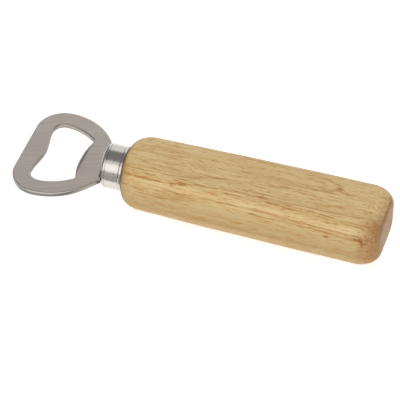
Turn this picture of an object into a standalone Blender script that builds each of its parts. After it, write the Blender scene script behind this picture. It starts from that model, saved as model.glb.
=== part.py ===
"""Bottle opener with a flat steel head, a drawn steel ferrule and a wooden handle.

Metres, +Z up, head towards -X. The origin is under the middle of the opener, on the surface that the
handle's flat underside rests on. Nothing moves: the head's tang is bonded into the handle.
"""

import math

import bmesh
import bpy
from mathutils import Matrix

MM = 0.001
SHARP_ANGLE = math.radians(35)
OUTLINE_STEPS = 8  # pieces that each curved stretch of the opening is made of
CLEAR = 2 * MM  # how far a cutter runs past the face that it opens
GAP = 0.3 * MM  # between faces that touch on the real object

# Overall
HANDLE_LENGTH = 109 * MM
HEAD_REACH = 44.8 * MM  # from the handle's shoulder to the head's straight front edge
SHOULDER_X = (HEAD_REACH - HANDLE_LENGTH) / 2

# Handle
HANDLE_WIDTH = 31.5 * MM  # at the butt, where it is widest
HANDLE_HEIGHT = 23 * MM
NECK_TAPER = 0.112  # share of the width that the handle loses towards the ferrule
EDGE_RADIUS = 7 * MM  # of the four long edges
LANDING_RADIUS = 9.6 * MM  # round face that the ferrule's rim stops against
SHOULDER_LENGTH = 8.5 * MM
BUTT_ROUNDING = 9.5 * MM
BUTT_INSET_Y = 6.5 * MM
BUTT_INSET_Z = 5 * MM
BUTT_EDGE_RADIUS = 3.5 * MM
END_STEPS = 8  # sections through each rounded end
STRAIGHT_STEPS = 6  # and between them
SECTION_STEPS = 8  # pieces in each rounded corner of a section
AXIS_Z = HANDLE_HEIGHT / 2

# Ferrule
FERRULE_RADIUS = 9.3 * MM
FERRULE_LENGTH = 9.75 * MM
FERRULE_WALL = 0.8 * MM
FERRULE_FRONT_ROUNDING = 2 * MM
RIM_RADIUS = 9.55 * MM
RIM_LENGTH = 0.9 * MM
RIM_STEP = 0.3 * MM  # length of the slope between the rim and the barrel
TURN_STEPS = 48

# Head
HEAD_THICKNESS = 2 * MM
HEAD_Z = AXIS_Z - 0.8 * MM  # middle of the plate, a little below the ferrule's axis
HEAD_RADIUS = 24.8 * MM
HEAD_CORNER_RADIUS = 12 * MM
HEAD_EDGE_BEVEL = 0.25 * MM
BACK_ANGLE = 38  # degrees from +X where the round back runs out into straight lines
HUG_ANGLE = 114  # where those lines end, turned about the ferrule's front rounding
TANG_WIDTH = 12 * MM
TANG_LENGTH = 45 * MM  # inside the wood

# Opening for the cap, measured towards the head's front edge from its rounded ends' centres
OPENING_HALF_WIDTH = 17.4 * MM
OPENING_END_RADIUS = 4.7 * MM
LIP_RISE = 1.6 * MM
TOOTH_REACH = 11.7 * MM  # from the end centres back to the tooth's edge
TOOTH_RISE = 2 * MM
TOOTH_HALF_WIDTH = 10.6 * MM
TOOTH_BEVEL_DEPTH = 1 * MM
TOOTH_CORNER = 0.7 * MM  # small facet between the tooth's edge and each flank

# Bond
SLOT_WIDTH = 16 * MM
SLOT_HEIGHT = 5 * MM
SLOT_LENGTH = 50 * MM

HEAD_CENTRE_X = SHOULDER_X - HEAD_REACH + HEAD_CORNER_RADIUS
FERRULE_FRONT_X = SHOULDER_X - FERRULE_LENGTH
SPIGOT_RADIUS = FERRULE_RADIUS - FERRULE_WALL - GAP
SPIGOT_FRONT_X = FERRULE_FRONT_X + FERRULE_WALL + GAP


def material(name, colour, roughness, metallic):
    made = bpy.data.materials.new(name)
    made.use_nodes = True
    shader = made.node_tree.nodes["Principled BSDF"]
    shader.inputs["Base Color"].default_value = (*colour, 1)
    shader.inputs["Roughness"].default_value = roughness
    shader.inputs["Metallic"].default_value = metallic
    return made


def add(obj, collection, finish=None):
    collection.objects.link(obj)
    if finish:
        obj.data.materials.clear()
        obj.data.materials.append(finish)
    return obj


def mesh_object(name, bm):
    bmesh.ops.recalc_face_normals(bm, faces=bm.faces)
    mesh = bpy.data.meshes.new(name)
    bm.to_mesh(mesh)
    bm.free()
    return bpy.data.objects.new(name, mesh)


def settle(obj):
    """Turns the object's modifiers into its mesh, and shades it smooth up to its sharp edges."""
    graph = bpy.context.evaluated_depsgraph_get()
    obj.data = bpy.data.meshes.new_from_object(obj.evaluated_get(graph))
    obj.modifiers.clear()
    obj.data.shade_smooth()
    obj.data.set_sharp_from_angle(angle=SHARP_ANGLE)


def box(name, low, high):
    """A box between two corners."""
    bm = bmesh.new()
    bmesh.ops.create_cube(bm, size=1)
    size = [h - l for l, h in zip(low, high)]
    middle = [(l + h) / 2 for l, h in zip(low, high)]
    bm.transform(Matrix.Translation(middle) @ Matrix.Diagonal((*size, 1)))
    return mesh_object(name, bm)


def cut(obj, cutter, cutters):
    """Takes the cutter away from obj, and keeps it as a wire in the collection of cutters."""
    add(cutter, cutters)
    cutter.display_type = "WIRE"
    cutter.hide_render = True
    boolean = obj.modifiers.new("cut_" + cutter.name, "BOOLEAN")
    boolean.operation = "DIFFERENCE"
    boolean.object = cutter


def arc(centre, radius, start, end, steps):
    """Points on a circle, from the start angle to the end angle, in degrees."""
    for step in range(steps + 1):
        angle = math.radians(start + (end - start) * step / steps)
        yield centre[0] + radius * math.cos(angle), centre[1] + radius * math.sin(angle)


def mirrored(half):
    """Closes an outline's +Y half, given from front to back, with its mirror image."""
    return half + [(x, -y) for x, y in reversed(half) if y > 1e-6]


def plate(name, outlines, thickness):
    """A flat plate about z = 0. The first outline is its edge, and any other is a hole."""
    curve = bpy.data.curves.new(name, "CURVE")
    curve.dimensions = "2D"
    curve.fill_mode = "BOTH"
    curve.extrude = thickness / 2
    for points in outlines:
        spline = curve.splines.new("POLY")
        spline.points.add(len(points) - 1)
        for point, (x, y) in zip(spline.points, points):
            point.co = (x, y, 0, 1)
        spline.use_cyclic_u = True
    guide = bpy.data.objects.new(name + "_outline", curve)
    bpy.context.scene.collection.objects.link(guide)
    graph = bpy.context.evaluated_depsgraph_get()
    mesh = bpy.data.meshes.new_from_object(guide.evaluated_get(graph))
    bpy.data.objects.remove(guide)
    bpy.data.curves.remove(curve)
    bm = bmesh.new()
    bm.from_mesh(mesh)
    bpy.data.meshes.remove(mesh)
    bmesh.ops.remove_doubles(bm, verts=bm.verts, dist=1e-6)
    return mesh_object(name, bm)


def head_outline():
    """Straight front edge, rounded corners, a round back, shoulders that hug the ferrule, a tang."""
    corner_y = HEAD_RADIUS - HEAD_CORNER_RADIUS
    rounding = FERRULE_FRONT_ROUNDING
    hugged = (FERRULE_FRONT_X + rounding, FERRULE_RADIUS - rounding)
    half = list(arc((HEAD_CENTRE_X, corner_y), HEAD_CORNER_RADIUS, 180, 90, 10))
    half += list(arc((HEAD_CENTRE_X, 0), HEAD_RADIUS, 90, BACK_ANGLE, 14))[1:]
    half += list(arc(hugged, rounding + GAP, HUG_ANGLE, 180, 3))
    half.append((FERRULE_FRONT_X - GAP, TANG_WIDTH / 2))
    half.append((SHOULDER_X + TANG_LENGTH, TANG_WIDTH / 2))
    return mirrored(half)


def opening_outline():
    """A lip that swells into the opening, two round ends, slanting flanks and the tooth."""
    lip_x = HEAD_CENTRE_X - OPENING_END_RADIUS
    lip_half_width = OPENING_HALF_WIDTH - OPENING_END_RADIUS
    half = []
    for step in range(OUTLINE_STEPS + 1):
        y = lip_half_width * step / OUTLINE_STEPS
        swell = LIP_RISE / 2 * (1 + math.cos(math.pi * y / lip_half_width))
        half.append((lip_x + swell, y))
    half += list(arc((HEAD_CENTRE_X, lip_half_width), OPENING_END_RADIUS, 180, 90, OUTLINE_STEPS))[1:]
    root = TOOTH_REACH + TOOTH_RISE  # where the tooth's edge meets the flanks
    flank_drop = OPENING_HALF_WIDTH - TOOTH_HALF_WIDTH - 2 * TOOTH_CORNER
    for step in range(1, OUTLINE_STEPS + 1):
        x = (root - TOOTH_CORNER) * step / OUTLINE_STEPS
        half.append((HEAD_CENTRE_X + x, OPENING_HALF_WIDTH - flank_drop * (x / root) ** 2))
    half.append((HEAD_CENTRE_X + root, TOOTH_HALF_WIDTH + TOOTH_CORNER))
    for step in range(OUTLINE_STEPS, -1, -1):
        share = step / OUTLINE_STEPS
        half.append((HEAD_CENTRE_X + TOOTH_REACH + TOOTH_RISE * share**2, TOOTH_HALF_WIDTH * share))
    return mirrored(half)


def tooth_bevel():
    """Cutter that slopes the tooth's upper side down towards its edge."""
    slope = math.atan2(TOOTH_BEVEL_DEPTH, TOOTH_RISE)
    half_width = TOOTH_HALF_WIDTH + TOOTH_CORNER / 2
    low = (-TOOTH_RISE - 2 * CLEAR, -half_width, 0)
    cutter = box("tooth_bevel", low, (0, half_width, 2 * CLEAR))
    root_x = HEAD_CENTRE_X + TOOTH_REACH + TOOTH_RISE
    place = Matrix.Translation((root_x, 0, HEAD_Z + HEAD_THICKNESS / 2))
    cutter.data.transform(place @ Matrix.Rotation(-slope, 4, "Y"))
    return cutter


def opener_head(parts, cutters, finish):
    head = plate("opener_head", [head_outline(), opening_outline()], HEAD_THICKNESS)
    head.data.transform(Matrix.Translation((0, 0, HEAD_Z)))
    add(head, parts, finish)
    cut(head, tooth_bevel(), cutters)
    bevel = head.modifiers.new("edges", "BEVEL")
    bevel.width = HEAD_EDGE_BEVEL
    bevel.segments = 1
    bevel.limit_method = "ANGLE"
    bevel.angle_limit = math.radians(60)


def ferrule(parts, cutters, finish):
    """A drawn cup, turned about its own Z, which points at the head, and slotted for the tang."""
    rounding = FERRULE_FRONT_ROUNDING
    inner = FERRULE_RADIUS - FERRULE_WALL
    corner = (FERRULE_RADIUS - rounding, FERRULE_LENGTH - rounding)
    profile = [(0, FERRULE_LENGTH)]
    profile += list(arc(corner, rounding, 90, 0, 5))
    profile += [(FERRULE_RADIUS, RIM_LENGTH + RIM_STEP), (RIM_RADIUS, RIM_LENGTH)]
    profile += [(RIM_RADIUS, GAP), (inner, GAP)]
    profile += [(inner, FERRULE_LENGTH - FERRULE_WALL), (0, FERRULE_LENGTH - FERRULE_WALL)]
    bm = bmesh.new()
    verts = [bm.verts.new((x, 0, z)) for x, z in profile]
    for first, second in zip(verts, verts[1:]):
        bm.edges.new((first, second))
    mesh = bpy.data.meshes.new("ferrule")
    bm.to_mesh(mesh)
    bm.free()
    cup = add(bpy.data.objects.new("ferrule", mesh), parts, finish)
    cup.location = (SHOULDER_X, 0, AXIS_Z)
    cup.rotation_euler = (0, -math.pi / 2, 0)
    screw = cup.modifiers.new("turn", "SCREW")
    screw.axis = "Z"
    screw.steps = screw.render_steps = TURN_STEPS
    screw.use_merge_vertices = True
    screw.merge_threshold = 1e-5
    half_y = TANG_WIDTH / 2 + GAP
    half_z = HEAD_THICKNESS / 2 + GAP
    front = FERRULE_FRONT_X - CLEAR
    back = FERRULE_FRONT_X + FERRULE_WALL + CLEAR
    slot = box("ferrule_slot", (front, -half_y, HEAD_Z - half_z), (back, half_y, HEAD_Z + half_z))
    cut(cup, slot, cutters)


def section(x, half_width, half_height, radius):
    """A rounded rectangle across the handle, as a ring of points."""
    radius = min(radius, half_width, half_height)
    ring = []
    for quarter, (side_y, side_z) in enumerate(((1, 1), (-1, 1), (-1, -1), (1, -1))):
        centre = (side_y * (half_width - radius), side_z * (half_height - radius))
        for y, z in arc(centre, radius, 90 * quarter, 90 * quarter + 90, SECTION_STEPS):
            ring.append((x, y, AXIS_Z + z))
    return ring


def loft(name, rings):
    """A closed skin over rings that have the same number of points."""
    bm = bmesh.new()
    loops = [[bm.verts.new(point) for point in ring] for ring in rings]
    count = len(rings[0])
    for first, second in zip(loops, loops[1:]):
        for index in range(count):
            after = (index + 1) % count
            bm.faces.new((first[index], first[after], second[after], second[index]))
    bm.faces.new(loops[0])
    bm.faces.new(loops[-1])
    bmesh.ops.remove_doubles(bm, verts=bm.verts, dist=1e-6)
    return mesh_object(name, bm)


def quarter_round(share):
    """How much of an inset is left at this share of the way along a rounded end."""
    return 1 - math.sqrt(max(0, 1 - (1 - share) ** 2))


def body_half_width(along):
    return HANDLE_WIDTH / 2 * (1 - NECK_TAPER * (1 - along / HANDLE_LENGTH) ** 2)


def shoulder_section(share):
    """The wood grows from the round landing behind the ferrule to its full section."""
    along = SHOULDER_LENGTH * share
    inset = quarter_round(share)
    full = body_half_width(along)
    half_width = full - (full - LANDING_RADIUS) * inset
    half_height = HANDLE_HEIGHT / 2 - (HANDLE_HEIGHT / 2 - LANDING_RADIUS) * inset
    radius = EDGE_RADIUS + (LANDING_RADIUS - EDGE_RADIUS) * inset
    return section(SHOULDER_X + along, half_width, half_height, radius)


def butt_section(share):
    """The rounded end, with share 0 at its flat face and 1 where the rounding begins."""
    along = HANDLE_LENGTH - BUTT_ROUNDING * share
    inset = quarter_round(share)
    half_width = body_half_width(along) - BUTT_INSET_Y * inset
    half_height = HANDLE_HEIGHT / 2 - BUTT_INSET_Z * inset
    radius = EDGE_RADIUS + (BUTT_EDGE_RADIUS - EDGE_RADIUS) * inset
    return section(SHOULDER_X + along, half_width, half_height, radius)


def handle(parts, cutters, finish):
    """The wooden body, its turned spigot inside the ferrule and the blind slot for the tang."""
    spigot_ends = (SPIGOT_FRONT_X, SHOULDER_X)
    rings = [section(x, SPIGOT_RADIUS, SPIGOT_RADIUS, SPIGOT_RADIUS) for x in spigot_ends]
    quarter = [math.pi / 2 * step / END_STEPS for step in range(END_STEPS + 1)]
    curve = [1 - math.cos(angle) for angle in quarter]
    rings += [shoulder_section(share) for share in curve]
    first = SHOULDER_LENGTH
    last = HANDLE_LENGTH - BUTT_ROUNDING
    for step in range(1, STRAIGHT_STEPS):
        along = first + (last - first) * step / STRAIGHT_STEPS
        half_width = body_half_width(along)
        rings.append(section(SHOULDER_X + along, half_width, HANDLE_HEIGHT / 2, EDGE_RADIUS))
    rings += [butt_section(share) for share in reversed(curve)]
    body = add(loft("handle", rings), parts, finish)
    low = (SPIGOT_FRONT_X - CLEAR, -SLOT_WIDTH / 2, HEAD_Z - SLOT_HEIGHT / 2)
    high = (SHOULDER_X + SLOT_LENGTH, SLOT_WIDTH / 2, HEAD_Z + SLOT_HEIGHT / 2)
    # The slot is narrower than the spigot, so its walls stay whole.
    cut(body, box("tang_slot", low, high), cutters)


def tang_adhesive(parts, cutters, finish):
    """The cured bond that fills the handle's slot and holds the tang. It is open at the front."""
    half_y = SLOT_WIDTH / 2 - GAP
    half_z = SLOT_HEIGHT / 2 - GAP
    front = SPIGOT_FRONT_X
    back = SHOULDER_X + SLOT_LENGTH - GAP
    bond = box("tang_adhesive", (front, -half_y, HEAD_Z - half_z), (back, half_y, HEAD_Z + half_z))
    add(bond, parts, finish)
    half_y = TANG_WIDTH / 2 + GAP
    half_z = HEAD_THICKNESS / 2 + GAP
    back = SHOULDER_X + TANG_LENGTH + GAP
    pocket_low = (front - CLEAR, -half_y, HEAD_Z - half_z)
    pocket = box("tang_pocket", pocket_low, (back, half_y, HEAD_Z + half_z))
    cut(bond, pocket, cutters)


def main():
    for obj in list(bpy.data.objects):
        bpy.data.objects.remove(obj)
    parts = bpy.data.collections.new("bottle_opener")
    cutters = bpy.data.collections.new("cutters")
    for collection in (parts, cutters):
        bpy.context.scene.collection.children.link(collection)
    cutters.hide_render = True
    opener_head(parts, cutters, material("brushed_steel", (0.37, 0.34, 0.31), 0.38, 1))
    ferrule(parts, cutters, material("polished_steel", (0.66, 0.64, 0.61), 0.2, 1))
    handle(parts, cutters, material("rubberwood", (0.57, 0.40, 0.17), 0.5, 0))
    tang_adhesive(parts, cutters, material("epoxy", (0.55, 0.42, 0.18), 0.35, 0))
    for obj in parts.objects:
        settle(obj)


main()
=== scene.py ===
"""Looks of the bottle opener: a brushed steel head, a polished steel ferrule and a rubberwood handle.

Metres, +Z up, head towards -X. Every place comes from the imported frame. The fine outlines repeat the
CAD's own rules at a closer spacing, with the small roundings and marks that the CAD leaves out.
"""

import math

import bmesh
import bpy
from mathutils import Matrix, Vector, noise


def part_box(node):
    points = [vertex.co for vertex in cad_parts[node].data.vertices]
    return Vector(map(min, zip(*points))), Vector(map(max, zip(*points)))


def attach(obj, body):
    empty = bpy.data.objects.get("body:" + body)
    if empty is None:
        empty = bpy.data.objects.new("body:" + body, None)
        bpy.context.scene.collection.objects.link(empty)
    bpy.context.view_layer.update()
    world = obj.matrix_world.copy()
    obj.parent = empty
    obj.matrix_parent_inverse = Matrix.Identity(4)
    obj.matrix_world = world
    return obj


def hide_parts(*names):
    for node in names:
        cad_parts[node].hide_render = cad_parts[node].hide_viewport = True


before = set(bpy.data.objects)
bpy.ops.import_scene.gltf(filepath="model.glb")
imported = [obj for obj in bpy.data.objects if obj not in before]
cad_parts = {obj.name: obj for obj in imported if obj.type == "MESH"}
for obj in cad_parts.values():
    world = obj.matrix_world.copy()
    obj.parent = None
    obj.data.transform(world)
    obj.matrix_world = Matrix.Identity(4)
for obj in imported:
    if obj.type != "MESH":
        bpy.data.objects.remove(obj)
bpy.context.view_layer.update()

MM = 0.001
TAU = 2 * math.pi
MERGE = 1e-7  # points closer than this are one

# The frame
GAP = 0.3 * MM  # that the CAD keeps between faces that touch
HEAD_LOW, HEAD_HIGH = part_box("opener_head")
FERRULE_LOW, FERRULE_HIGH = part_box("ferrule")
HANDLE_LOW, HANDLE_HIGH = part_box("handle")
BOND_LOW, BOND_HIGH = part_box("tang_adhesive")
SHOULDER_X = FERRULE_HIGH.x + GAP
AXIS_Z = (HANDLE_LOW.z + HANDLE_HIGH.z) / 2

# Head
HEAD_RADIUS = HEAD_HIGH.y
HEAD_CORNER_RADIUS = 12 * MM
HEAD_CENTRE_X = HEAD_LOW.x + HEAD_CORNER_RADIUS
HEAD_SHOULDER_X = FERRULE_LOW.x - GAP
TANG_HALF_WIDTH = 6 * MM
ROLLOVER = 0.4 * MM  # soft upper edge that the blanking punch leaves
BURR_ROUNDING = 0.12 * MM
SHEARED_DEPTH = 0.8 * MM  # smooth part of the blanked wall, above its torn part
TORN_INSET = 0.05 * MM
OPENING_HALF_WIDTH = 17.4 * MM
OPENING_END_RADIUS = 4.7 * MM
LIP_RISE = 1.6 * MM
TOOTH_REACH = 11.7 * MM
TOOTH_RISE = 2 * MM
TOOTH_HALF_WIDTH = 10.6 * MM
TOOTH_CORNER = 0.7 * MM
TOOTH_ROOT_X = HEAD_CENTRE_X + TOOTH_REACH + TOOTH_RISE  # where the crescent ends at the plate's face
TOOTH_DROP = 1 * MM  # how far the coined edge of the tooth lies under the plate's face
NARROWEST_COINED = 0.05 * MM
TEAR_SLOPE = 0.15 * MM  # height over which the torn part sets in
BRUSH_ANGLE = math.radians(27)
BACK_ANGLE = 38  # degrees from +X where the round back runs out into straight lines
HUG_ANGLE = 114  # where those lines end, turned about the ferrule's front rounding

# Steps along each stretch of the head's outlines
FRONT_STEPS = 12
HEAD_CORNER_STEPS = 40
BACK_STEPS = 56
HUG_STEPS = 3
LIP_STEPS = 36
END_STEPS = 24
FLANK_STEPS = 32
TOOTH_CORNER_STEPS = 6
TOOTH_STEPS = 36
COINED_STEPS = 8

# Ferrule
FERRULE_RADIUS = 9.3 * MM
FERRULE_WALL = 0.8 * MM
FRONT_ROUNDING = 2 * MM
RIM_LENGTH = 0.9 * MM
RIM_SLOPE = 0.45 * MM
RIM_EDGE_ROUNDING = 0.25 * MM
DRAW_LINE = 0.05 * MM  # depth of the fine groove behind the front rounding, and half its floor's width
TURN_STEPS = 160
FRONT_ROUNDING_STEPS = 14
BARREL_STEPS = 8
RIM_SLOPE_STEPS = 6
RIM_EDGE_STEPS = 6

# Handle
HANDLE_LENGTH = HANDLE_HIGH.x - SHOULDER_X
HALF_WIDTH = HANDLE_HIGH.y
HALF_HEIGHT = HANDLE_HIGH.z - AXIS_Z
NECK_TAPER = 0.112
EDGE_RADIUS = 7 * MM
LANDING_RADIUS = 9.6 * MM
SHOULDER_LENGTH = 8.5 * MM
BUTT_ROUNDING = 9.5 * MM
BUTT_INSET_Y = 6.5 * MM
BUTT_INSET_Z = 5 * MM
BUTT_EDGE_RADIUS = 3.5 * MM
SPIGOT_RADIUS = FERRULE_RADIUS - FERRULE_WALL - GAP
SANDING = 0.12 * MM  # how much the hand sanding has taken off here and there
SHOULDER_STEPS = 28
STRAIGHT_STEPS = 90
BUTT_STEPS = 32
CORNER_STEPS = 20
FLAT_STEPS = 10

# Camera
AZIMUTH = math.radians(17.86)
ELEVATION = math.radians(43.73)
ROLL = math.radians(0.52)
DISTANCE = 971.7 * MM
AIM = Vector((0.15 * MM, 0, 11.5 * MM))
AIM_OFFSET = (1.44 * MM, 5.39 * MM)  # how far the camera is moved to its left and down
LENS = 216.2
SENSOR = 36


def grey(value):
    return (value, value, value, 1)


def srgb(red, green, blue):
    """A colour given in 0 to 255, as the linear one that a shader takes."""
    parts = []
    for value in (red, green, blue):
        share = value / 255
        parts.append(share / 12.92 if share < 0.04045 else ((share + 0.055) / 1.055) ** 2.4)
    return (*parts, 1)


class Graph:
    """A material's node tree. Each method adds a node and returns what comes out of it."""

    def __init__(self, name):
        self.material = bpy.data.materials.new(name)
        self.material.use_nodes = True
        self.tree = self.material.node_tree
        self.shader = self.tree.nodes["Principled BSDF"]

    def node(self, kind, inputs=(), **settings):
        made = self.tree.nodes.new(kind)
        for name, value in settings.items():
            setattr(made, name, value)
        for key, value in dict(inputs).items():
            self.put(value, made.inputs[key])
        return made

    def put(self, value, socket):
        if isinstance(value, bpy.types.NodeSocket):
            self.tree.links.new(value, socket)
        else:
            socket.default_value = value

    def math(self, operation, first, second=0.0, clamp=False):
        pair = {0: first, 1: second}
        return self.node("ShaderNodeMath", pair, operation=operation, use_clamp=clamp).outputs[0]

    def total(self, *values):
        result = values[0]
        for value in values[1:]:
            result = self.math("ADD", result, value)
        return result

    def scaled(self, vector, scale, offset=(0, 0, 0)):
        inputs = {"Vector": vector, "Scale": scale, "Location": offset}
        return self.node("ShaderNodeMapping", inputs).outputs[0]

    def noise(self, vector, detail=2.0, rough=0.5, distort=0.0):
        inputs = {"Vector": vector, "Scale": 1.0, "Detail": detail, "Roughness": rough}
        inputs["Distortion"] = distort
        return self.node("ShaderNodeTexNoise", inputs).outputs["Fac"]

    def step(self, value, start, end, low=0.0, high=1.0):
        """A smooth change from low to high as value goes from start to end."""
        inputs = {"Value": value, "From Min": start, "From Max": end, "To Min": low, "To Max": high}
        made = self.node("ShaderNodeMapRange", inputs, interpolation_type="SMOOTHSTEP")
        return made.outputs[0]

    def ramp(self, value, stops):
        made = self.node("ShaderNodeValToRGB", {"Fac": value})
        elements = made.color_ramp.elements
        while len(elements) < len(stops):
            elements.new(0.5)
        for element, (place, colour) in zip(elements, stops):
            element.position = place
            element.color = colour
        return made.outputs["Color"]

    def product(self, *values):
        result = values[0]
        for value in values[1:]:
            result = self.math("MULTIPLY", result, value)
        return result

    def mix(self, share, first, second):
        made = self.node("ShaderNodeMix", data_type="RGBA")
        self.put(share, made.inputs["Factor"])
        self.put(first, made.inputs[6])
        self.put(second, made.inputs[7])
        return made.outputs[2]

    def bump(self, height, distance, strength=1.0):
        inputs = {"Height": height, "Distance": distance, "Strength": strength}
        return self.node("ShaderNodeBump", inputs).outputs[0]

    def position(self):
        """The place on the object, in millimetres."""
        return self.scaled(self.node("ShaderNodeTexCoord").outputs["Object"], (1 / MM,) * 3)

    def normal(self):
        return self.node("ShaderNodeNewGeometry").outputs["Normal"]

    def parts(self, vector):
        """The x, y and z of a vector."""
        return tuple(self.node("ShaderNodeSeparateXYZ", {0: vector}).outputs)

    def finish(self, **sockets):
        for name, value in sockets.items():
            self.put(value, self.shader.inputs[name.replace("_", " ")])
        return self.material


# ---------------------------------------------------------------- mesh helpers


def mesh_object(name, bm, material, sharp=35):
    bmesh.ops.remove_doubles(bm, verts=bm.verts, dist=MERGE)
    bmesh.ops.recalc_face_normals(bm, faces=bm.faces)
    mesh = bpy.data.meshes.new(name)
    bm.to_mesh(mesh)
    bm.free()
    mesh.shade_smooth()
    mesh.set_sharp_from_angle(angle=math.radians(sharp))
    mesh.materials.append(material)
    obj = bpy.data.objects.new(name, mesh)
    bpy.context.scene.collection.objects.link(obj)
    return obj


def cut_box(obj, low, high):
    """Takes the box between two corners away from obj."""
    bm = bmesh.new()
    bmesh.ops.create_cube(bm, size=1)
    size = [h - l for l, h in zip(low, high)]
    middle = [(l + h) / 2 for l, h in zip(low, high)]
    bm.transform(Matrix.Translation(middle) @ Matrix.Diagonal((*size, 1)))
    mesh = bpy.data.meshes.new("cutter")
    bm.to_mesh(mesh)
    bm.free()
    cutter = bpy.data.objects.new("cutter", mesh)
    bpy.context.scene.collection.objects.link(cutter)
    boolean = obj.modifiers.new("cut", "BOOLEAN")
    boolean.operation = "DIFFERENCE"
    boolean.object = cutter
    graph = bpy.context.evaluated_depsgraph_get()
    obj.data = bpy.data.meshes.new_from_object(obj.evaluated_get(graph))
    obj.modifiers.clear()
    bpy.data.objects.remove(cutter)


def add_ring(bm, points):
    return [bm.verts.new(point) for point in points]


def skin(bm, first, second):
    """Quads between two closed rings that have the same number of points."""
    for index in range(len(first)):
        after = (index + 1) % len(first)
        bm.faces.new((first[index], first[after], second[after], second[index]))


def ring_edges(bm, ring):
    edges = []
    for index in range(len(ring)):
        pair = (ring[index - 1], ring[index])
        edges.append(bm.edges.get(pair) or bm.edges.new(pair))
    return edges


def arc(centre, radius, start, end, steps):
    """Points on a circle, from the start angle to the end angle, in degrees."""
    for step in range(steps + 1):
        angle = math.radians(start + (end - start) * step / steps)
        yield centre[0] + radius * math.cos(angle), centre[1] + radius * math.sin(angle)


def mirrored(half):
    """Closes an outline's +Y half, given from front to back, with its mirror image."""
    return half + [(x, -y) for x, y in reversed(half) if y > 0]


# ---------------------------------------------------------------- head


def head_outline():
    """Straight front edge, rounded corners, a round back, shoulders that hug the ferrule, a tang."""
    corner_y = HEAD_RADIUS - HEAD_CORNER_RADIUS
    hugged = (FERRULE_LOW.x + FRONT_ROUNDING, FERRULE_RADIUS - FRONT_ROUNDING)
    half = [(HEAD_LOW.x, corner_y * step / FRONT_STEPS) for step in range(FRONT_STEPS)]
    half += list(arc((HEAD_CENTRE_X, corner_y), HEAD_CORNER_RADIUS, 180, 90, HEAD_CORNER_STEPS))
    half += list(arc((HEAD_CENTRE_X, 0), HEAD_RADIUS, 90, BACK_ANGLE, BACK_STEPS))[1:]
    half += list(arc(hugged, FRONT_ROUNDING + GAP, HUG_ANGLE, 180, HUG_STEPS))
    half += [(HEAD_SHOULDER_X, TANG_HALF_WIDTH), (HEAD_HIGH.x, TANG_HALF_WIDTH)]
    return mirrored(half)


def tooth_edge_x(y):
    return HEAD_CENTRE_X + TOOTH_REACH + TOOTH_RISE * (y / TOOTH_HALF_WIDTH) ** 2


def opening_outline():
    """A lip that swells into the opening, two round ends, slanting flanks and the tooth."""
    lip_half_width = OPENING_HALF_WIDTH - OPENING_END_RADIUS
    half = []
    for step in range(LIP_STEPS + 1):
        y = lip_half_width * step / LIP_STEPS
        swell = LIP_RISE / 2 * (1 + math.cos(math.pi * y / lip_half_width))
        half.append((HEAD_CENTRE_X - OPENING_END_RADIUS + swell, y))
    half += list(arc((HEAD_CENTRE_X, lip_half_width), OPENING_END_RADIUS, 180, 90, END_STEPS))[1:]
    root = TOOTH_REACH + TOOTH_RISE
    drop = OPENING_HALF_WIDTH - TOOTH_HALF_WIDTH - 2 * TOOTH_CORNER
    for step in range(1, FLANK_STEPS + 1):
        x = (root - TOOTH_CORNER) * step / FLANK_STEPS
        half.append((HEAD_CENTRE_X + x, OPENING_HALF_WIDTH - drop * (x / root) ** 2))
    start = Vector(half[-1])
    end = Vector((HEAD_CENTRE_X + root, TOOTH_HALF_WIDTH))
    corner = Vector((end.x + TOOTH_CORNER / 2, TOOTH_HALF_WIDTH + 1.6 * TOOTH_CORNER))
    for step in range(1, TOOTH_CORNER_STEPS):
        share = step / TOOTH_CORNER_STEPS
        point = start * (1 - share) ** 2 + corner * 2 * share * (1 - share) + end * share**2
        half.append(tuple(point))
    for step in range(TOOTH_STEPS, -1, -1):
        y = TOOTH_HALF_WIDTH * step / TOOTH_STEPS
        half.append((tooth_edge_x(y), y))
    return mirrored(half)


def moved_in(outline, depth, inward):
    """The outline moved into the material by depth, with its corners kept square."""
    moved = []
    count = len(outline)
    for index, here in enumerate(outline):
        here = Vector(here)
        before = (here - Vector(outline[index - 1])).normalized()
        after = (Vector(outline[(index + 1) % count]) - here).normalized()
        side = Vector((-before.y - after.y, before.x + after.x)).normalized()
        stretch = 1 / max(0.5, side.dot(Vector((-before.y, before.x))))
        moved.append(here + side * depth * stretch * inward)
    return moved


def coined(x, y):
    """How far the plate's upper face is pressed down at a point near the tooth's edge."""
    if abs(y) > TOOTH_HALF_WIDTH or x > TOOTH_ROOT_X or x < HEAD_CENTRE_X:
        return 0
    share = (TOOTH_ROOT_X - x) / TOOTH_RISE
    return TOOTH_DROP * (0.35 * share + 0.65 * share**2)


def signed_area(outline):
    return sum(a[0] * b[1] - b[0] * a[1] for a, b in zip(outline, outline[1:] + outline[:1])) / 2


def wall_rings(bm, outline, is_hole):
    """The plate's edge round an outline, from its upper face to its lower one."""
    top, bottom = HEAD_HIGH.z, HEAD_LOW.z
    inward = 1 if (signed_area(outline) > 0) != is_hole else -1
    levels = [(ROLLOVER * 1.6, 0)]
    for angle in (0, 22.5, 45, 67.5, 90):
        turn = math.radians(angle)
        levels.append((ROLLOVER * (1 - math.sin(turn)), ROLLOVER * (1 - math.cos(turn))))
    levels += [(0, SHEARED_DEPTH), (TORN_INSET, SHEARED_DEPTH + TEAR_SLOPE)]
    rings = []
    for depth, down in levels:
        ring = moved_in(outline, depth, inward)
        rings.append(add_ring(bm, [(x, y, top - coined(x, y) - down) for x, y in ring]))
    low = [(TORN_INSET / 2, BURR_ROUNDING), (BURR_ROUNDING, 0), (BURR_ROUNDING * 2, 0)]
    for depth, up in low:
        ring = moved_in(outline, depth, inward)
        rings.append(add_ring(bm, [(x, y, bottom + up) for x, y in ring]))
    for first, second in zip(rings, rings[1:]):
        skin(bm, first, second)
    return rings[0], rings[-1]


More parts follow.
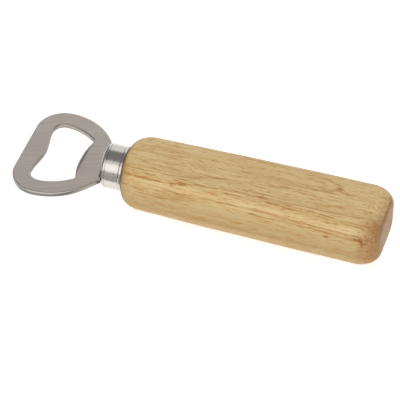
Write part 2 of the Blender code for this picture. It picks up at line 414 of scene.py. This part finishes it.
def coined_face(bm, ring):
    """Fills the pressed crescent behind the tooth's edge.

    Returns the ring with the crescent's straight root in place of the tooth's edge.
    """
    low, high = HEAD_CENTRE_X + TOOTH_REACH / 2, TOOTH_ROOT_X - NARROWEST_COINED
    columns = []
    for i, v in enumerate(ring):
        if abs(v.co.y) < TOOTH_HALF_WIDTH and low < v.co.x < high:
            columns.append(i)
    columns.sort(key=lambda i: ring[i].co.y)
    rows = {}
    for i in columns:
        x, y = ring[i].co.x, ring[i].co.y
        rows[i] = [ring[i]]
        for step in range(1, COINED_STEPS + 1):
            at = x + (TOOTH_ROOT_X - x) * step / COINED_STEPS
            rows[i].append(bm.verts.new((at, y, HEAD_HIGH.z - coined(at, y))))
    for a, b in zip(columns, columns[1:]):
        for k in range(COINED_STEPS):
            bm.faces.new((rows[a][k], rows[b][k], rows[b][k + 1], rows[a][k + 1]))
    ends = (columns[0], columns[-1])
    inside = set(columns)
    closed = []
    for i, v in enumerate(ring):
        if i in inside:
            path = [rows[i][-1]]
            if i in ends:
                before_is_out = (i - 1) % len(ring) not in inside
                side = rows[i][:-1]
                path = side + path if before_is_out else path + side[::-1]
            closed += path
        else:
            closed.append(v)
    return closed


def head_piece(material):
    bm = bmesh.new()
    outer_top, outer_bottom = wall_rings(bm, head_outline(), False)
    hole_top, hole_bottom = wall_rings(bm, opening_outline(), True)
    hole_top = coined_face(bm, hole_top)
    for outer, hole in ((outer_top, hole_top), (outer_bottom, hole_bottom)):
        edges = ring_edges(bm, outer) + ring_edges(bm, hole)
        bmesh.ops.triangle_fill(bm, use_beauty=True, edges=edges)
    head = mesh_object("opener_head_steel", bm, material, sharp=50)
    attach(head, "root")
    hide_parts("opener_head")


# ---------------------------------------------------------------- ferrule


def ferrule_profile():
    """Radius and distance from the ferrule's front, from the middle of its face to the inside."""
    length = FERRULE_HIGH.x - FERRULE_LOW.x
    rim = FERRULE_HIGH.y
    profile = [(0, 0), (FERRULE_RADIUS * 0.5, 0)]
    corner = (FERRULE_RADIUS - FRONT_ROUNDING, FRONT_ROUNDING)
    profile += list(arc(corner, FRONT_ROUNDING, -90, 0, FRONT_ROUNDING_STEPS))
    groove = FRONT_ROUNDING + DRAW_LINE
    floor = FERRULE_RADIUS - DRAW_LINE
    start = groove + 6 * DRAW_LINE
    profile += [(FERRULE_RADIUS, groove), (floor, groove + 2 * DRAW_LINE)]
    profile += [(floor, groove + 4 * DRAW_LINE), (FERRULE_RADIUS, start)]
    back = length - RIM_LENGTH
    end = back - RIM_SLOPE
    for step in range(1, BARREL_STEPS + 1):
        profile.append((FERRULE_RADIUS, start + (end - start) * step / BARREL_STEPS))
    for step in range(1, RIM_SLOPE_STEPS + 1):
        share = step / RIM_SLOPE_STEPS
        rise = share * share * (3 - 2 * share)
        profile.append((FERRULE_RADIUS + (rim - FERRULE_RADIUS) * rise, end + RIM_SLOPE * share))
    profile.append((rim, back + 0.1 * MM))
    corner = (rim - RIM_EDGE_ROUNDING, length - RIM_EDGE_ROUNDING)
    profile += list(arc(corner, RIM_EDGE_ROUNDING, 0, 90, RIM_EDGE_STEPS))
    inner = FERRULE_RADIUS - FERRULE_WALL
    profile += [(inner, length), (inner, FERRULE_WALL), (0, FERRULE_WALL)]
    return profile


def ferrule_piece(material):
    bm = bmesh.new()
    rings = []
    for radius, along in ferrule_profile():
        points = []
        for step in range(TURN_STEPS):
            angle = TAU * step / TURN_STEPS
            y, z = radius * math.cos(angle), AXIS_Z + radius * math.sin(angle)
            points.append((FERRULE_LOW.x + along, y, z))
        rings.append(add_ring(bm, points if radius else points[:1] * TURN_STEPS))
    for first, second in zip(rings, rings[1:]):
        skin(bm, first, second)
    bmesh.ops.remove_doubles(bm, verts=bm.verts, dist=MERGE)
    bmesh.ops.dissolve_degenerate(bm, edges=bm.edges, dist=MERGE)
    ferrule = mesh_object("ferrule_steel", bm, material)
    half_y = TANG_HALF_WIDTH + GAP
    low = (FERRULE_LOW.x - GAP, -half_y, HEAD_LOW.z - GAP)
    high = (FERRULE_LOW.x + FERRULE_WALL + GAP, half_y, HEAD_HIGH.z + GAP)
    cut_box(ferrule, low, high)
    ferrule.data.set_sharp_from_angle(angle=math.radians(35))
    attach(ferrule, "root")
    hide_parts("ferrule")


# ---------------------------------------------------------------- handle


def section(x, half_width, half_height, radius):
    """A rounded rectangle across the handle, as a ring of points."""
    radius = min(radius, half_width, half_height)
    signs = ((1, 1), (-1, 1), (-1, -1), (1, -1))
    corners = []
    for quarter, (side_y, side_z) in enumerate(signs):
        centre = (side_y * (half_width - radius), side_z * (half_height - radius))
        corners.append(list(arc(centre, radius, 90 * quarter, 90 * quarter + 90, CORNER_STEPS)))
    points = []
    for corner, following in zip(corners, corners[1:] + corners[:1]):
        start, end = Vector(corner[-1]), Vector(following[0])
        points += corner
        points += [tuple(start.lerp(end, step / FLAT_STEPS)) for step in range(1, FLAT_STEPS)]
    return [(x, y, AXIS_Z + z) for y, z in points]


def quarter_round(share):
    """How much of an inset is left at this share of the way in from a rounded end."""
    return 1 - math.sqrt(max(0, 1 - (1 - share) ** 2))


def body_half_width(along):
    return HALF_WIDTH * (1 - NECK_TAPER * (1 - along / HANDLE_LENGTH) ** 2)


def handle_section(along):
    """The wood's section at a distance from the ferrule: a round landing, the full body, the butt."""
    half_width, half_height, radius = body_half_width(along), HALF_HEIGHT, EDGE_RADIUS
    if along < SHOULDER_LENGTH:
        inset = quarter_round(along / SHOULDER_LENGTH)
        half_width -= (half_width - LANDING_RADIUS) * inset
        half_height -= (half_height - LANDING_RADIUS) * inset
        radius += (LANDING_RADIUS - radius) * inset
    from_butt = HANDLE_LENGTH - along
    if from_butt < BUTT_ROUNDING:
        inset = quarter_round(from_butt / BUTT_ROUNDING)
        half_width -= BUTT_INSET_Y * inset
        half_height -= BUTT_INSET_Z * inset
        radius += (BUTT_EDGE_RADIUS - radius) * inset
    return section(SHOULDER_X + along, half_width, half_height, radius)


def sanded(ring):
    """Moves a ring inwards a little, unevenly, as hand sanding leaves the wood."""
    middle = Vector((ring[0][0], 0, AXIS_Z))
    moved = []
    for point in ring:
        place = Vector(point)
        wave = noise.noise(Vector((place.x / (22 * MM), place.y / (11 * MM), place.z / (11 * MM))))
        depth = SANDING * max(0.0, min(1.0, 0.45 + wave))
        moved.append(place + (middle - place).normalized() * depth)
    return moved


def handle_piece(material):
    bm = bmesh.new()
    stations = []
    for step in range(SHOULDER_STEPS + 1):
        stations.append(SHOULDER_LENGTH * (1 - math.cos(math.pi / 2 * step / SHOULDER_STEPS)))
    straight = HANDLE_LENGTH - BUTT_ROUNDING - SHOULDER_LENGTH
    for step in range(1, STRAIGHT_STEPS):
        stations.append(SHOULDER_LENGTH + straight * step / STRAIGHT_STEPS)
    for step in range(BUTT_STEPS, -1, -1):
        stations.append(HANDLE_LENGTH - BUTT_ROUNDING * (1 - math.cos(math.pi / 2 * step / BUTT_STEPS)))
    spigot = []
    for x in (BOND_LOW.x, SHOULDER_X):
        spigot.append(add_ring(bm, section(x, SPIGOT_RADIUS, SPIGOT_RADIUS, SPIGOT_RADIUS)))
    rings = spigot + [add_ring(bm, sanded(handle_section(along))) for along in stations]
    for first, second in zip(rings, rings[1:]):
        skin(bm, first, second)
    bm.faces.new(rings[0])
    face = rings[-1]
    butt = Vector((HANDLE_HIGH.x, 0, AXIS_Z))
    for scale in (0.9, 0.7, 0.5, 0.3, 0.12):
        inner = add_ring(bm, [butt + (v.co - butt) * scale for v in rings[-1]])
        skin(bm, face, inner)
        face = inner
    bm.faces.new(face)
    handle = mesh_object("handle_wood", bm, material, sharp=60)
    play = Vector((GAP, GAP, GAP))
    cut_box(handle, BOND_LOW - play, BOND_HIGH + play)
    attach(handle, "root")
    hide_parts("handle")


# ---------------------------------------------------------------- materials

PLATE_DARK = srgb(172, 165, 157)
PLATE_MIDDLE = srgb(190, 182, 173)
PLATE_LIGHT = srgb(208, 200, 190)
CRESCENT_STEEL_AND_SHADE = srgb(184, 176, 164)
LIT_WALL_DARK = srgb(210, 204, 191)
LIT_WALL_LIGHT = srgb(232, 226, 213)
BURR_AND_SHADE_STEEL = srgb(120, 114, 104)
JOINT_SHADE = srgb(66, 62, 56)
ROLLED_EDGE_HIGHLIGHT = srgb(240, 235, 226)
PUNCHED_DARK = srgb(152, 145, 135)
PUNCHED_LIGHT = srgb(186, 179, 168)
FERRULE_DARK = srgb(205, 200, 192)
FERRULE_LIGHT = srgb(222, 217, 209)
GROOVE_SHADE = srgb(120, 114, 106)
EPOXY_DARK = srgb(176, 140, 74)
EPOXY_LIGHT = srgb(206, 172, 104)
EPOXY_PIT_SHADE = srgb(140, 104, 50)
WOOD_TONES = [(0.3, srgb(189, 153, 94)), (0.42, srgb(202, 171, 115)), (0.5, srgb(210, 182, 128)),
              (0.58, srgb(216, 191, 140)), (0.7, srgb(223, 202, 156))]
END_GRAIN_TONES = [(0.32, srgb(132, 96, 51)), (0.5, srgb(157, 119, 70)), (0.68, srgb(175, 137, 86))]
FRONT_SIDE_GREY = srgb(192, 171, 119)
LOW_SIDE_SHADE = srgb(170, 142, 98)
WOOD_EDGE_HIGHLIGHT = srgb(219, 194, 146)
GRAIN_BROWN = srgb(182, 132, 64)
PORE_BROWN = srgb(164, 116, 58)
COLLAR_BROWN = srgb(160, 110, 58)
STREAK_BROWN = srgb(166, 112, 48)
LOW_EDGE_SHADE = srgb(164, 122, 74)
STAIN_BROWN = srgb(158, 107, 50)
CRACK_BROWN = srgb(136, 80, 34)
TURNED_BROWN = srgb(150, 107, 60)
OUTER_WALL_FROM = (19.5, 20.5)  # in mm from the head's centre: the opening's walls are nearer
DRAW_LINE_X = FERRULE_LOW.x + FRONT_ROUNDING + 0.2 * MM
RIM_SEAM_X = FERRULE_HIGH.x - RIM_LENGTH - 0.4 * MM


def brushed_steel():
    """Rolled stainless sheet with fine straight brush marks at a slant to the opener's length."""
    g = Graph("brushed_steel")
    place = g.position()
    x, y, z = g.parts(place)
    turned = g.node("ShaderNodeMapping", {"Vector": place, "Rotation": (0, 0, -BRUSH_ANGLE)}).outputs[0]
    normal_x, _, normal_z = g.parts(g.normal())
    upright = g.math("ABSOLUTE", normal_z)
    face = g.step(upright, 0.3, 0.8)
    fine = g.noise(g.scaled(turned, (0.11, 3.4, 3.4)), 3, 0.65)
    broad = g.noise(g.scaled(turned, (0.05, 0.9, 0.9), (3, 1, 0)), 3, 0.6)
    blotch = g.noise(g.scaled(turned, (0.06, 0.1, 0.1), (1, 7, 0)), 2, 0.5)
    streak = g.total(g.product(fine, 0.5), g.product(broad, 0.35), g.product(blotch, 0.15))
    plate = g.ramp(streak, [(0.32, PLATE_DARK), (0.5, PLATE_MIDDLE), (0.68, PLATE_LIGHT)])
    # the coined crescent is smoother than the plate, and leans towards the head's front: it is painted
    # evenly, and a little darker as painted shade
    root = TOOTH_ROOT_X / MM
    pressed = g.product(g.step(normal_x, -0.05, -0.14), g.step(x, root + 0.3, root - 0.1),
                        g.step(g.math("ABSOLUTE", y), 11.6, 11.0), face)
    plate = g.mix(g.product(pressed, 0.9), plate, CRESCENT_STEEL_AND_SHADE)
    # walls: the opening's are as punched, and the outer one is painted lighter, as painted light that it
    # catches
    torn = g.noise(g.scaled(place, (3.0, 3.0, 0.9)), 4, 0.7)
    from_centre = g.math("SUBTRACT", x, HEAD_CENTRE_X / MM)
    radius = g.math("SQRT", g.total(g.product(from_centre, from_centre), g.product(y, y)))
    outside = g.step(radius, *OUTER_WALL_FROM)
    punched = g.ramp(torn, [(0.3, PUNCHED_DARK), (0.7, PUNCHED_LIGHT)])
    lit_outer_wall = g.ramp(torn, [(0.3, LIT_WALL_DARK), (0.7, LIT_WALL_LIGHT)])
    wall = g.mix(outside, punched, lit_outer_wall)
    burr = g.step(z, HEAD_LOW.z / MM + 0.62, HEAD_LOW.z / MM + 0.3)
    wall = g.mix(g.product(burr, 0.6), wall, BURR_AND_SHADE_STEEL)
    # painted shade: walls that face the butt are darkened with the burr's dark steel
    shade_facing_butt = g.mix(outside, g.step(normal_x, 0.6, 0.95, 0.0, 0.6),
                        g.step(normal_x, 0.28, 0.6, 0.0, 0.65))
    wall = g.mix(shade_facing_butt, wall, BURR_AND_SHADE_STEEL)
    # painted shade on the walls where the head goes into the ferrule
    joint_shade = g.step(x, HEAD_SHOULDER_X / MM - 0.4, HEAD_SHOULDER_X / MM + 0.6, 0.0, 0.85)
    wall = g.mix(joint_shade, wall, JOINT_SHADE)
    colour = g.mix(face, wall, plate)
    # painted highlight along the rounded upper edge of the outer wall
    rolled_edge_highlight = g.product(g.step(upright, 0.2, 0.45), g.step(upright, 0.97, 0.85),
                          g.math("SUBTRACT", 0.8, g.product(pressed, 0.8)), outside)
    colour = g.mix(rolled_edge_highlight, colour, ROLLED_EDGE_HIGHLIGHT)
    rough = g.mix(face, grey(0.42), g.ramp(streak, [(0.35, grey(0.30)), (0.65, grey(0.40))]))
    bump = g.bump(g.mix(face, torn, streak), 0.02 * MM, 0.5)
    brushing = {0: math.cos(BRUSH_ANGLE), 1: math.sin(BRUSH_ANGLE), 2: 0.0}
    along = g.node("ShaderNodeCombineXYZ", brushing).outputs[0]
    return g.finish(Base_Color=colour, Roughness=rough, Normal=bump, Metallic=1.0, Anisotropic=0.4,
                    Tangent=along)


def polished_steel():
    """Drawn and turned steel: fine rings round the ferrule, on a bright surface."""
    g = Graph("polished_steel")
    place = g.position()
    x = g.parts(place)[0]
    rings = g.noise(g.scaled(place, (7.0, 0.12, 0.12)), 3, 0.65)
    cloud = g.noise(g.scaled(place, (0.5, 0.4, 0.4)), 3, 0.6)
    mixed = g.total(g.product(rings, 0.6), g.product(cloud, 0.4))
    colour = g.ramp(mixed, [(0.3, FERRULE_DARK), (0.7, FERRULE_LIGHT)])
    # painted shade in the fine groove behind the front rounding and at the seam before the rim
    for line_x, half_width in ((DRAW_LINE_X, 0.24), (RIM_SEAM_X, 0.26)):
        away = g.math("ABSOLUTE", g.math("SUBTRACT", x, line_x / MM))
        colour = g.mix(g.step(away, half_width, 0.08, 0.0, 0.45), colour, GROOVE_SHADE)
    rough = g.ramp(mixed, [(0.3, grey(0.17)), (0.7, grey(0.25))])
    bump = g.bump(rings, 0.004 * MM, 0.6)
    return g.finish(Base_Color=colour, Roughness=rough, Normal=bump, Metallic=1.0)


def epoxy():
    """Cured amber adhesive with a few small bubbles."""
    g = Graph("cured_epoxy")
    place = g.position()
    cloud = g.noise(g.scaled(place, (0.3, 0.3, 0.3)), 3, 0.6)
    bubbles = g.node("ShaderNodeTexVoronoi", {"Vector": place, "Scale": 1.4}).outputs["Distance"]
    pit = g.step(bubbles, 0.12, 0.2)
    colour = g.ramp(cloud, [(0.3, EPOXY_DARK), (0.7, EPOXY_LIGHT)])
    # painted shade in the bubbles' pits
    colour = g.mix(g.math("SUBTRACT", 1.0, pit), colour, EPOXY_PIT_SHADE)
    bump = g.bump(pit, 0.1 * MM, 0.6)
    rough = g.ramp(cloud, [(0.3, grey(0.25)), (0.7, grey(0.4))])
    return g.finish(Base_Color=colour, Roughness=rough, Normal=bump, Coat_Weight=0.2)


class Wood(Graph):
    """The handle's wood, as a solid: what it shows runs on from face to face.

    along is the distance from the ferrule. across grows round the handle's upper front edge, from
    the middle of its upper face (0) down its front side: it counts layers that lie at 45 degrees.
    """

    def __init__(self):
        super().__init__("rubberwood")
        self.place = self.position()
        x, y, z = self.parts(self.place)
        self.along = self.math("SUBTRACT", x, SHOULDER_X / MM)
        flat_across = self.math("SUBTRACT", HANDLE_HIGH.z / MM, self.total(y, z))
        wander = self.noise(self.scaled(self.place, (1 / 26, 1 / 9, 1 / 9)), 2, 0.5)
        waver = self.noise(self.scaled(self.place, (1 / 9, 1 / 2.6, 1 / 2.6), (3, 7, 1)), 3, 0.6)
        shift = self.total(self.product(self.math("SUBTRACT", wander, 0.5), 1.6),
                           self.product(self.math("SUBTRACT", waver, 0.5), 1.0))
        self.across = self.total(flat_across, shift)
        self.patchy = self.noise(self.scaled(self.place, (1 / 4, 1 / 0.7, 1 / 0.7), (5, 2, 9)), 3, 0.6)
        self.swell = self.noise(self.scaled(self.place, (1 / 8, 1 / 3, 1 / 3), (8, 3, 2)), 2, 0.5)

    def window(self, start, end, fade):
        """1 between two distances from the ferrule, and 0 beyond them."""
        rise = self.step(self.along, start - fade / 2, start + fade / 2)
        fall = self.step(self.along, end - fade / 2, end + fade / 2, 1.0, 0.0)
        return self.product(rise, fall)

    def line(self, points, half_width, strength, fade=4.0):
        """A streak through points of (along, across), as a mask."""
        start, end = points[0][0], points[-1][0]
        low = min(across for along, across in points) - 1
        high = max(across for along, across in points) + 1
        share = self.even(self.along, start, end)
        curve = self.node("ShaderNodeFloatCurve", {"Value": share, "Factor": 1.0})
        made = curve.mapping.curves[0].points
        while len(made) < len(points):
            made.new(0.5, 0.5)
        for target, (along, across) in zip(made, points):
            target.location = ((along - start) / (end - start), (across - low) / (high - low))
        curve.mapping.update()
        centre = self.even(curve.outputs[0], 0, 1, low, high)
        away = self.math("ABSOLUTE", self.math("SUBTRACT", self.across, centre))
        width = self.step(self.swell, 0.3, 0.7, half_width, half_width * 3)
        body = self.step(self.math("DIVIDE", away, width), 0.0, 1.0, 1.0, 0.0)
        grain = self.step(self.patchy, 0.3, 0.62, 0.25, 1.0)
        return self.product(body, self.window(start, end, fade), grain, strength)

    def even(self, value, start, end, low=0.0, high=1.0):
        """A straight change from low to high as value goes from start to end."""
        inputs = {"Value": value, "From Min": start, "From Max": end, "To Min": low, "To Max": high}
        return self.node("ShaderNodeMapRange", inputs).outputs[0]

    def ridges(self, scale, offset, sharp):
        """Thin wavy lines along the grain, where a stretched noise passes its middle value."""
        made = self.noise(self.scaled(self.place, scale, offset), 2, 0.55, 0.3)
        away = self.math("ABSOLUTE", self.math("SUBTRACT", made, 0.5))
        return self.step(away, 0.0, sharp, 1.0, 0.0)

    def length(self, u, v):
        return self.math("SQRT", self.total(self.product(u, u), self.product(v, v)))

    def oval(self, along, across, size_along, size_across):
        """The distance from a point, 1 on an oval round it."""
        u = self.math("DIVIDE", self.math("SUBTRACT", self.along, along), size_along)
        v = self.math("DIVIDE", self.math("SUBTRACT", self.across, across), size_across)
        return self.length(u, v)

    def spot(self, along, across, size_along, size_across, strength):
        """A soft oval mark."""
        far = self.oval(along, across, size_along, size_across)
        grain = self.step(self.patchy, 0.3, 0.6, 0.6, 1.0)
        return self.product(self.step(far, 0.3, 1.0, strength, 0.0), grain)

    def slash(self, start, end, half_width, strength):
        """A short straight mark between two points of (along, across)."""
        run, rise = end[0] - start[0], end[1] - start[1]
        u = self.math("SUBTRACT", self.along, start[0])
        v = self.math("SUBTRACT", self.across, start[1])
        ahead = self.total(self.product(u, run), self.product(v, rise))
        share = self.math("DIVIDE", ahead, run * run + rise * rise, clamp=True)
        u = self.math("SUBTRACT", u, self.product(share, run))
        v = self.math("SUBTRACT", v, self.product(share, rise))
        grain = self.step(self.patchy, 0.36, 0.6, 0.2, 1.0)
        return self.product(self.step(self.length(u, v), 0.0, half_width * 2, strength, 0.0), grain)

    def arch(self, along, across, size_along, size_across, half_width, strength):
        """The rounded tip of a growth ring that the surface cuts at a low angle."""
        far = self.oval(along, across, size_along, size_across)
        away = self.math("ABSOLUTE", self.math("SUBTRACT", far, 1.0))
        ring = self.step(away, 0.0, half_width, strength, 0.0)
        ahead = self.step(self.along, along, along + size_along / 2)
        grain = self.step(self.patchy, 0.3, 0.6, 0.4, 1.0)
        return self.product(ring, ahead, grain)


def wood_streaks(g):
    """The brown growth-ring streaks, the crack's branch lines and the rounded ring tips."""
    return g.total(
        g.line([(-2, 8.8), (8, 9.9), (20, 9.6), (27, 10.4), (34, 11.0), (45, 10.4), (60, 10.1), (80, 9.6),
                (92, 9.2), (105, 8.0)], 0.3, 0.55),
        g.line([(0, 10.6), (10, 11.6), (22, 11.4), (30, 12.0)], 0.25, 0.4),
        g.line([(2, 13.6), (12, 14.4), (20, 14.3), (28, 13.0)], 0.45, 0.9),
        g.line([(16, 9.8), (28, 8.2), (35, 6.5), (42, 4.6), (52, 3.9), (60, 3.0), (72, 1.4)], 0.4, 0.45, 8),
        g.line([(40, 12.6), (56, 12.0), (72, 12.6)], 0.28, 0.45),
        g.line([(48, 8.6), (60, 8.2), (76, 7.8)], 0.25, 0.35),
        g.line([(55, 10.8), (75, 11.3), (90, 12.3), (105, 13.2)], 0.3, 0.5),
        g.line([(60, 12.0), (80, 13.2), (102, 14.4)], 0.3, 0.5),
        g.line([(20, 18.9), (36, 18.3), (50, 17.9), (62, 18.2), (80, 19.4), (95, 19.6),
                (106, 20.3)], 0.34, 0.75),
        g.line([(54, 20.0), (62, 20.9), (75, 21.0), (95, 21.8), (106, 22.4)], 0.38, 0.65),
        g.line([(66, 19.6), (80, 20.6), (94, 20.9)], 0.3, 0.55),
        g.line([(4, 20.6), (14, 21.4), (26, 21.2)], 0.25, 0.4),
        g.line([(8, 22.8), (20, 23.3), (32, 22.8)], 0.25, 0.35),
        g.spot(26.5, 12.9, 2.8, 1.1, 0.8),
        g.spot(57, 20.3, 2.2, 0.9, 0.7),
        g.spot(43, 18.6, 1.8, 0.7, 0.5),
        g.spot(2.5, 20.0, 2.6, 1.0, 0.5),
        g.arch(74, -4.6, 14, 4.2, 0.16, 0.42),
        g.arch(70, -4.4, 12, 2.4, 0.2, 0.3),
        g.spot(88, -4.0, 3.0, 1.2, 0.35),
        g.arch(6, 20.6, 22, 3.4, 0.22, 0.4),
        g.arch(6, 20.8, 17, 2.0, 0.25, 0.3),
    )


def rubberwood():
    """Pale rubberwood: fine grain and pores along the handle, brown streaks, and mottled end grain."""
    g = Wood()
    fine = g.noise(g.scaled(g.place, (1 / 16, 1 / 0.65, 1 / 0.65)), 3, 0.6, 0.4)
    medium = g.noise(g.scaled(g.place, (1 / 30, 1 / 2.2, 1 / 2.2), (2, 4, 8)), 2, 0.5, 0.6)
    layer_inputs = {"W": g.product(g.across, 0.42), "Scale": 1.0, "Detail": 3.0}
    layers = g.node("ShaderNodeTexNoise", layer_inputs, noise_dimensions="1D").outputs["Fac"]
    cloud = g.noise(g.scaled(g.place, (1 / 40, 1 / 12, 1 / 12), (1, 1, 6)), 2, 0.5)
    tone = g.total(g.product(fine, 0.34), g.product(medium, 0.26), g.product(layers, 0.24),
                   g.product(cloud, 0.16))
    colour = g.ramp(tone, WOOD_TONES)
    # a paler, greyer tone on the front side, painted shade lower down it, and a painted highlight along the
    # edge above it
    colour = g.mix(g.step(g.across, 16.0, 21.0, 0.0, 0.55), colour, FRONT_SIDE_GREY)
    colour = g.mix(g.step(g.across, 20.0, 27.0, 0.0, 0.45), colour, LOW_SIDE_SHADE)
    # painted highlight along the rounded edge between the upper face and the front side
    edge = g.line([(-2, 15.6), (25, 15.4), (60, 16.2), (112, 16.6)], 0.5, 0.45)
    colour = g.mix(edge, colour, WOOD_EDGE_HIGHLIGHT)
    # fine grain and pores
    lines = g.total(g.product(g.ridges((1 / 14, 1 / 1.2, 1 / 1.2), (4, 1, 7), 0.045), 0.75),
                    g.product(g.ridges((1 / 26, 1 / 2.2, 1 / 2.2), (9, 5, 3), 0.028), 0.75))
    colour = g.mix(g.product(lines, g.step(g.patchy, 0.36, 0.58, 0.25, 1.0)), colour, GRAIN_BROWN)
    pores = g.noise(g.scaled(g.place, (1 / 2.4, 1 / 0.3, 1 / 0.3), (4, 3, 2)), 2, 0.5)
    pores = g.step(pores, 0.6, 0.72)
    colour = g.mix(g.product(pores, 0.5), colour, PORE_BROWN)
    # dark line where the wood meets the ferrule, brown streaks, and painted shade in a band low on the
    # front side
    colour = g.mix(g.step(g.along, 2.2, 0.2, 0.0, 0.45), colour, COLLAR_BROWN)
    streaks = g.math("MINIMUM", g.product(wood_streaks(g), 1.25), 0.9)
    colour = g.mix(streaks, colour, STREAK_BROWN)
    low_edge_shade = g.line([(0, 30.0), (50, 30.4), (110, 30.2)], 1.2, 0.45)
    colour = g.mix(low_edge_shade, colour, LOW_EDGE_SHADE)
    # the butt's front corner is stained, and cracked just above it
    stain = g.product(g.step(g.along, 97.0, 107.0), g.step(g.across, 4.0, 13.0),
                      g.step(g.across, 36.0, 28.0, 0.5, 1.0), g.step(g.patchy, 0.3, 0.65, 0.4, 0.85))
    colour = g.mix(stain, colour, STAIN_BROWN)
    marks = g.total(
        g.spot(88, 23.4, 1.9, 0.9, 0.8),
        g.spot(101.9, 21.6, 1.5, 1.2, 0.5),
        g.slash((101.0, 20.2), (102.2, 22.0), 0.5, 0.9),
        g.slash((102.2, 22.0), (102.6, 24.6), 0.42, 0.85),
        g.slash((104.6, 21.4), (103.4, 23.0), 0.4, 0.6),
        g.slash((99.6, 21.4), (105.8, 20.4), 0.34, 0.8),
        g.slash((95.5, 20.4), (101.0, 21.3), 0.3, 0.6),
        g.slash((103.4, 18.0), (105.4, 20.0), 0.4, 0.5),
    )
    colour = g.mix(g.math("MINIMUM", marks, 0.85), colour, CRACK_BROWN)
    # towards the butt the surface turns across the grain and darkens, up to the end grain itself
    facing = g.math("ABSOLUTE", g.parts(g.normal())[0])
    colour = g.mix(g.product(g.step(facing, 0.25, 0.65), 0.32), colour, TURNED_BROWN)
    speckle = g.noise(g.scaled(g.place, (1 / 0.8, 1 / 0.5, 1 / 0.5)), 4, 0.7)
    mottle = g.noise(g.scaled(g.place, (1 / 5, 1 / 2.4, 1 / 2.4)), 3, 0.6)
    mixed = g.total(g.product(speckle, 0.5), g.product(mottle, 0.5))
    end_grain = g.ramp(mixed, END_GRAIN_TONES)
    colour = g.mix(g.step(facing, 0.66, 0.73, 0.0, 0.95), colour, end_grain)
    height = g.total(g.product(fine, 0.5), g.product(pores, -0.6), g.product(marks, -1.5),
                     g.product(lines, -0.4))
    bump = g.bump(height, 0.06 * MM, 0.6)
    rough = g.ramp(tone, [(0.35, grey(0.55)), (0.65, grey(0.45))])
    return g.finish(Base_Color=colour, Roughness=rough, Normal=bump, Specular_IOR_Level=0.3,
                    Coat_Weight=0.06, Coat_Roughness=0.35)


# ---------------------------------------------------------------- studio


def glowing(name, shade, glow):
    g = Graph(name)
    return g.finish(Base_Color=grey(shade), Roughness=0.8, Emission_Color=grey(shade),
                    Emission_Strength=glow)


def card(name, low, high, level, material):
    """A flat level sheet between two corners."""
    bm = bmesh.new()
    corners = [(low[0], low[1]), (high[0], low[1]), (high[0], high[1]), (low[0], high[1])]
    bm.faces.new([bm.verts.new((x, y, level)) for x, y in corners])
    mesh = bpy.data.meshes.new(name)
    bm.to_mesh(mesh)
    bm.free()
    mesh.materials.append(material)
    obj = bpy.data.objects.new(name, mesh)
    bpy.context.scene.collection.objects.link(obj)
    return obj


def softbox(name, azimuth, elevation, distance, width, height, radiance, glossy=True, diffuse=True):
    """A soft rectangular light that faces the opener. Azimuth 0 is on the -Y side, 90 on the +X side."""
    a, e = math.radians(azimuth), math.radians(elevation)
    back = Vector((math.sin(a) * math.cos(e), -math.cos(a) * math.cos(e), math.sin(e)))
    data = bpy.data.lights.new(name, "AREA")
    data.shape = "RECTANGLE"
    data.size, data.size_y = width, height
    data.energy = math.pi * width * height * radiance
    obj = bpy.data.objects.new(name, data)
    obj.location = back * distance + Vector((0, 0, AXIS_Z))
    obj.rotation_euler = back.to_track_quat("Z", "Y").to_euler()
    obj.visible_camera = False
    obj.visible_glossy = glossy
    obj.visible_diffuse = diffuse
    bpy.context.scene.collection.objects.link(obj)


def studio():
    scene = bpy.context.scene
    scene.view_settings.view_transform = "Standard"
    world = bpy.data.worlds.new("studio")
    world.use_nodes = True
    background = world.node_tree.nodes["Background"]
    background.inputs["Color"].default_value = (0.97, 0.97, 1.0, 1)
    background.inputs["Strength"].default_value = 0.24
    scene.world = world
    card("floor", (-2, -2), (2, 2), 0, glowing("pale_floor", 0.75, 0.8))
    # lights for everything but reflections
    softbox("key", 0, 40, 1.3, 2.6, 1.35, 1.3, glossy=False)
    softbox("back", 180, 30, 1.3, 2.6, 1.5, 0.8, glossy=False)
    softbox("top", 0, 88, 1.2, 1.6, 0.8, 1.0, glossy=False)
    # lights seen only in reflections, which is most of what the steel shows
    softbox("key_wide", 0, 36, 1.3, 2.6, 1.56, 0.6, diffuse=False)
    softbox("key_middle", 0, 31, 1.3, 2.6, 0.9, 0.52, diffuse=False)
    softbox("back_shine", 172, 28, 1.3, 2.1, 1.38, 0.66, diffuse=False)
    # a faintly glowing grey sheet just above the floor in front of the opener, also seen only in
    # reflections: it gives the steel a painted dark reflection
    flag = card("dark_flag", (-0.5, -0.6), (0.5, -0.021), 0.4 * MM, glowing("flag_glow_grey", 0.02, 18))
    flag.visible_camera = False
    flag.visible_diffuse = False
    flag.visible_shadow = False


def camera():
    flat = math.cos(ELEVATION)
    back = Vector((math.sin(AZIMUTH) * flat, -math.cos(AZIMUTH) * flat, math.sin(ELEVATION)))
    level = Vector((math.cos(AZIMUTH), math.sin(AZIMUTH), 0))
    upward = back.cross(level)
    right = level * math.cos(ROLL) + upward * math.sin(ROLL)
    up = upward * math.cos(ROLL) - level * math.sin(ROLL)
    data = bpy.data.cameras.new("camera")
    data.lens = LENS
    data.sensor_width = SENSOR
    data.clip_start, data.clip_end = 0.05, 20
    obj = bpy.data.objects.new("camera", data)
    place = AIM + back * DISTANCE - right * AIM_OFFSET[0] - up * AIM_OFFSET[1]
    turn = Matrix((right, up, back)).transposed()
    obj.matrix_world = Matrix.Translation(place) @ turn.to_4x4()
    bpy.context.scene.collection.objects.link(obj)
    bpy.context.scene.camera = obj


camera()
studio()
head_piece(brushed_steel())
ferrule_piece(polished_steel())
handle_piece(rubberwood())
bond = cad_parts["tang_adhesive"]
bond.data.materials.clear()
bond.data.materials.append(epoxy())

bpy.context.view_layer.update()
